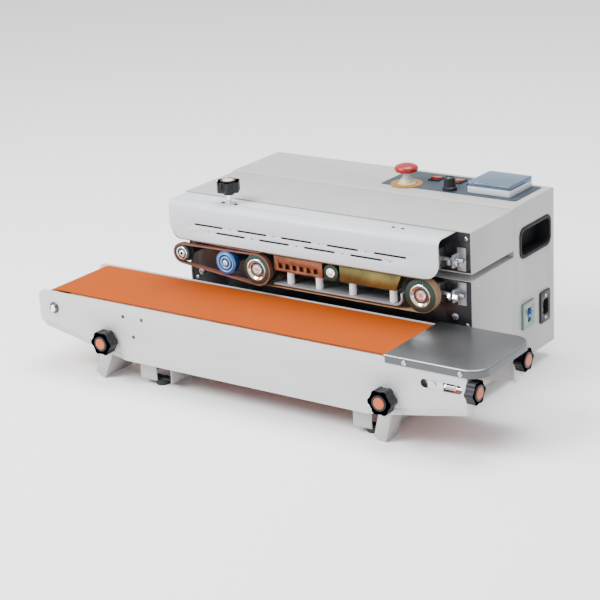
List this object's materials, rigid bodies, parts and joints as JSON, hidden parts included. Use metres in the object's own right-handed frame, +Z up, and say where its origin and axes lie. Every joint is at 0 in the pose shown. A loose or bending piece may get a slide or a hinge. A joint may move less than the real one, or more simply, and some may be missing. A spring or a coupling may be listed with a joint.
{
  "type": "continuous band sealer",
  "caption": "Tabletop horizontal band sealer: belts carry bags past a heater, cooler and coding wheel above a belt conveyor with an outfeed tray.",
  "frame": {"origin": "on the floor, below the middle of the whole machine", "axes": "+X towards the bag outfeed, the conveyor's long way; +Y to the back of the housing; +Z up"},
  "size_m": [0.858, 0.476, 0.329],
  "materials": {
    "white_paint": "fine textured powder coat",
    "cover_paint": "smooth powder coat",
    "black_paint": "satin",
    "conveyor_paint": "satin powder coat",
    "zinc_steel": "bright",
    "brushed_tray": "brushed",
    "green_rubber": "matt",
    "black_rubber": "matt",
    "orange_belt": "matt",
    "seal_belt": "coated glass cloth",
    "guide_belt": "matt",
    "copper_block": "cast copper",
    "brass_block": "milled",
    "blue_plastic": "gloss",
    "black_plastic": "matt",
    "white_plastic": "satin",
    "red_plastic": "gloss",
    "orange_plastic": "gloss",
    "panel_film": "matt film",
    "grey_plastic": "satin",
    "smoke_clear": "clear smoke",
    "motor_grey": "satin"
  },
  "bodies": {
    "machine": {"base_frame": "white_paint", "breaker_body": "grey_plastic", "control_panel": "panel_film", "conveyor_belt": "orange_belt", "conveyor_side_plates": "conveyor_paint", "cooling_blocks": "brass_block", "end_tray": "brushed_tray", "estop_base": "white_plastic", "front_cover": "cover_paint", "gear_motor": "motor_grey", "guide_belts": "guide_belt", "heater_blocks": "copper_block", "housing_screws": "zinc_steel", "lower_housing": "white_paint", "mechanism_brackets": "zinc_steel", "mounting_plates": "black_paint", "power_inlet": "black_plastic", "rear_box_shell": "white_paint", "rear_panel": "white_paint", "rubber_feet": "black_rubber", "sealing_belts": "seal_belt", "side_handles": "black_plastic", "slider_bed": "zinc_steel", "temperature_controller": "white_plastic", "upper_head_cover": "white_paint"},
    "lower_drive": {"lower_gear_shaft": "zinc_steel", "lower_drive_wheel": "green_rubber"},
    "upper_drive": {"upper_gear_shaft": "zinc_steel", "upper_drive_wheel": "green_rubber"},
    "motor_output": {"motor_pinion": "zinc_steel"},
    "fan": {"fan_rotor": "black_plastic"},
    "lower_carrier": {"lower_wheel_carrier": "zinc_steel"},
    "upper_carrier": {"upper_wheel_carrier": "zinc_steel"},
    "lower_tension": {"lower_tension_wheel": "green_rubber"},
    "upper_tension": {"upper_tension_wheel": "green_rubber"},
    "lower_emboss": {"lower_emboss_wheel": "blue_plastic"},
    "upper_emboss": {"upper_emboss_wheel": "blue_plastic"},
    "emboss_lift": {"emboss_carrier": "zinc_steel"},
    "pressure_screw": {"pressure_knob": "black_plastic"},
    "lower_press": {"lower_press_roller": "green_rubber"},
    "upper_press": {"upper_press_roller": "green_rubber"},
    "lower_pulley": {"lower_guide_pulley": "green_rubber"},
    "upper_pulley": {"upper_guide_pulley": "green_rubber"},
    "estop": {"estop_button": "red_plastic"},
    "red_switch": {"red_rocker": "red_plastic"},
    "orange_switch": {"orange_rocker": "orange_plastic"},
    "blue_switch": {"blue_rocker": "blue_plastic"},
    "speed_dial": {"speed_knob": "black_plastic"},
    "controller_lid": {"controller_cover": "smoke_clear"},
    "breaker_lever": {"breaker_toggle": "blue_plastic"},
    "left_roller": {"left_end_roller": "zinc_steel"},
    "tail_slider": {"tail_axle": "zinc_steel"},
    "tail_drum": {"tail_roller": "zinc_steel"},
    "feed_roller": {"conveyor_drive_roller": "zinc_steel"},
    "front_screw": {"front_tension_knob": "black_plastic"},
    "back_screw": {"back_tension_knob": "black_plastic"},
    "left_foot_leg": {"left_leg": "conveyor_paint"},
    "right_foot_leg": {"right_leg": "conveyor_paint"},
    "left_clamp": {"left_leg_knob": "black_plastic"},
    "right_clamp": {"right_leg_knob": "black_plastic"}
  },
  "joints": [
    {"name": "lower_drive_spin", "type": "hinge", "parent": "machine", "child": "lower_drive", "pos_m": [-0.0644, -0.079, 0.187], "axis": [0, 1, 0], "continuous": true},
    {"name": "upper_drive_spin", "type": "hinge", "parent": "machine", "child": "upper_drive", "pos_m": [-0.0644, -0.079, 0.243], "axis": [0, 1, 0], "continuous": true},
    {"name": "motor_spin", "type": "hinge", "parent": "machine", "child": "motor_output", "pos_m": [-0.0644, -0.079, 0.145], "axis": [0, 1, 0], "continuous": true},
    {"name": "lower_tension_slide", "type": "slide", "parent": "machine", "child": "lower_carrier", "axis": [1, 0, 0], "range_m": [-0.004, 0]},
    {"name": "upper_tension_slide", "type": "slide", "parent": "machine", "child": "upper_carrier", "axis": [1, 0, 0], "range_m": [-0.004, 0]},
    {"name": "lower_tension_spin", "type": "hinge", "parent": "lower_carrier", "child": "lower_tension", "pos_m": [0.2417, -0.079, 0.187], "axis": [0, 1, 0], "continuous": true},
    {"name": "upper_tension_spin", "type": "hinge", "parent": "upper_carrier", "child": "upper_tension", "pos_m": [0.2417, -0.079, 0.243], "axis": [0, 1, 0], "continuous": true},
    {"name": "lower_emboss_spin", "type": "hinge", "parent": "machine", "child": "lower_emboss", "pos_m": [-0.1274, -0.079, 0.19], "axis": [0, 1, 0], "continuous": true},
    {"name": "pressure_turn", "type": "hinge", "parent": "machine", "child": "pressure_screw", "pos_m": [-0.1274, -0.058, 0.3], "axis": [0, 0, 1], "range_deg": [0, 360]},
    {"name": "emboss_rise", "type": "slide", "parent": "machine", "child": "emboss_lift", "axis": [0, 0, 1], "range_m": [0, 0.001]},
    {"name": "upper_emboss_spin", "type": "hinge", "parent": "emboss_lift", "child": "upper_emboss", "pos_m": [-0.1274, -0.079, 0.24], "axis": [0, 1, 0], "continuous": true},
    {"name": "lower_press_spin", "type": "hinge", "parent": "machine", "child": "lower_press", "pos_m": [0.0762, -0.079, 0.2002], "axis": [0, 1, 0], "continuous": true},
    {"name": "upper_press_spin", "type": "hinge", "parent": "machine", "child": "upper_press", "pos_m": [0.0762, -0.079, 0.2298], "axis": [0, 1, 0], "continuous": true},
    {"name": "lower_pulley_spin", "type": "hinge", "parent": "machine", "child": "lower_pulley", "pos_m": [-0.2194, -0.079, 0.1935], "axis": [0, 1, 0], "continuous": true},
    {"name": "upper_pulley_spin", "type": "hinge", "parent": "machine", "child": "upper_pulley", "pos_m": [-0.2194, -0.079, 0.2365], "axis": [0, 1, 0], "continuous": true},
    {"name": "left_roller_spin", "type": "hinge", "parent": "machine", "child": "left_roller", "pos_m": [-0.3955, -0.212, 0.11075], "axis": [0, 1, 0], "continuous": true},
    {"name": "tail_slide", "type": "slide", "parent": "machine", "child": "tail_slider", "axis": [1, 0, 0], "range_m": [-0.005, 0]},
    {"name": "tail_roller_spin", "type": "hinge", "parent": "tail_slider", "child": "tail_drum", "pos_m": [0.347, -0.212, 0.11075], "axis": [0, 1, 0], "continuous": true},
    {"name": "feed_roller_spin", "type": "hinge", "parent": "machine", "child": "feed_roller", "pos_m": [-0.122, -0.212, 0.09645], "axis": [0, 1, 0], "continuous": true},
    {"name": "front_screw_turn", "type": "hinge", "parent": "machine", "child": "front_screw", "pos_m": [0.405, -0.2067, 0.11075], "axis": [1, 0, 0], "range_deg": [-1440, 0]},
    {"name": "back_screw_turn", "type": "hinge", "parent": "machine", "child": "back_screw", "pos_m": [0.405, -0.0593, 0.11075], "axis": [1, 0, 0], "range_deg": [-1440, 0]},
    {"name": "left_leg_fold", "type": "hinge", "parent": "machine", "child": "left_foot_leg", "pos_m": [-0.276, -0.2097, 0.074], "axis": [0, 1, 0], "range_deg": [0, 64]},
    {"name": "right_leg_fold", "type": "hinge", "parent": "machine", "child": "right_foot_leg", "pos_m": [0.268, -0.2097, 0.075], "axis": [0, 1, 0], "range_deg": [-60, 0]},
    {"name": "left_clamp_turn", "type": "hinge", "parent": "machine", "child": "left_clamp", "pos_m": [-0.276, -0.212, 0.074], "axis": [0, 1, 0], "range_deg": [-180, 0]},
    {"name": "right_clamp_turn", "type": "hinge", "parent": "machine", "child": "right_clamp", "pos_m": [0.268, -0.212, 0.075], "axis": [0, 1, 0], "range_deg": [-180, 0]},
    {"name": "estop_press", "type": "slide", "parent": "machine", "child": "estop", "axis": [0, 0, -1], "range_m": [0, 0.004]},
    {"name": "red_rock", "type": "hinge", "parent": "machine", "child": "red_switch", "pos_m": [0.117, 0.196, 0.291], "axis": [1, 0, 0], "range_deg": [0, 10.8]},
    {"name": "orange_rock", "type": "hinge", "parent": "machine", "child": "orange_switch", "pos_m": [0.158, 0.196, 0.291], "axis": [1, 0, 0], "range_deg": [0, 10.8]},
    {"name": "blue_rock", "type": "hinge", "parent": "machine", "child": "blue_switch", "pos_m": [0.191, 0.196, 0.291], "axis": [1, 0, 0], "range_deg": [0, 10.8]},
    {"name": "speed_turn", "type": "hinge", "parent": "machine", "child": "speed_dial", "pos_m": [0.169, 0.149, 0.292], "axis": [0, 0, 1], "range_deg": [-270, 0]},
    {"name": "lid_swing", "type": "hinge", "parent": "machine", "child": "controller_lid", "pos_m": [0.202, 0.223, 0.3033], "axis": [-1, 0, 0], "range_deg": [0, 100]},
    {"name": "breaker_flip", "type": "hinge", "parent": "machine", "child": "breaker_lever", "pos_m": [0.309, 0.145, 0.1], "axis": [0, 1, 0], "range_deg": [0, 60]},
    {"name": "fan_spin", "type": "hinge", "parent": "machine", "child": "fan", "pos_m": [-0.09, 0.2325, 0.16], "axis": [0, 1, 0], "continuous": true}
  ],
  "couplings": [
    {"joint": "upper_drive_spin", "follows": "lower_drive_spin", "ratio": -1},
    {"joint": "motor_spin", "follows": "lower_drive_spin", "ratio": -2},
    {"joint": "lower_tension_spin", "follows": "lower_drive_spin", "ratio": 1},
    {"joint": "upper_tension_spin", "follows": "lower_drive_spin", "ratio": -1},
    {"joint": "lower_press_spin", "follows": "lower_drive_spin", "ratio": 1.9565},
    {"joint": "upper_press_spin", "follows": "lower_drive_spin", "ratio": -1.9565},
    {"joint": "lower_pulley_spin", "follows": "lower_drive_spin", "ratio": 1.6333},
    {"joint": "upper_pulley_spin", "follows": "lower_drive_spin", "ratio": -1.6333},
    {"joint": "lower_emboss_spin", "follows": "lower_drive_spin", "ratio": 1.225},
    {"joint": "upper_emboss_spin", "follows": "lower_drive_spin", "ratio": -1.225},
    {"joint": "left_roller_spin", "follows": "lower_drive_spin", "ratio": 0.95406},
    {"joint": "tail_roller_spin", "follows": "lower_drive_spin", "ratio": 0.95406},
    {"joint": "feed_roller_spin", "follows": "lower_drive_spin", "ratio": 1.9286},
    {"joint": "pressure_turn", "follows": "emboss_rise", "rad_per_m": 6283.1},
    {"joint": "front_screw_turn", "follows": "tail_slide", "rad_per_m": 5026.5},
    {"joint": "back_screw_turn", "follows": "tail_slide", "rad_per_m": 5026.5}
  ]
}
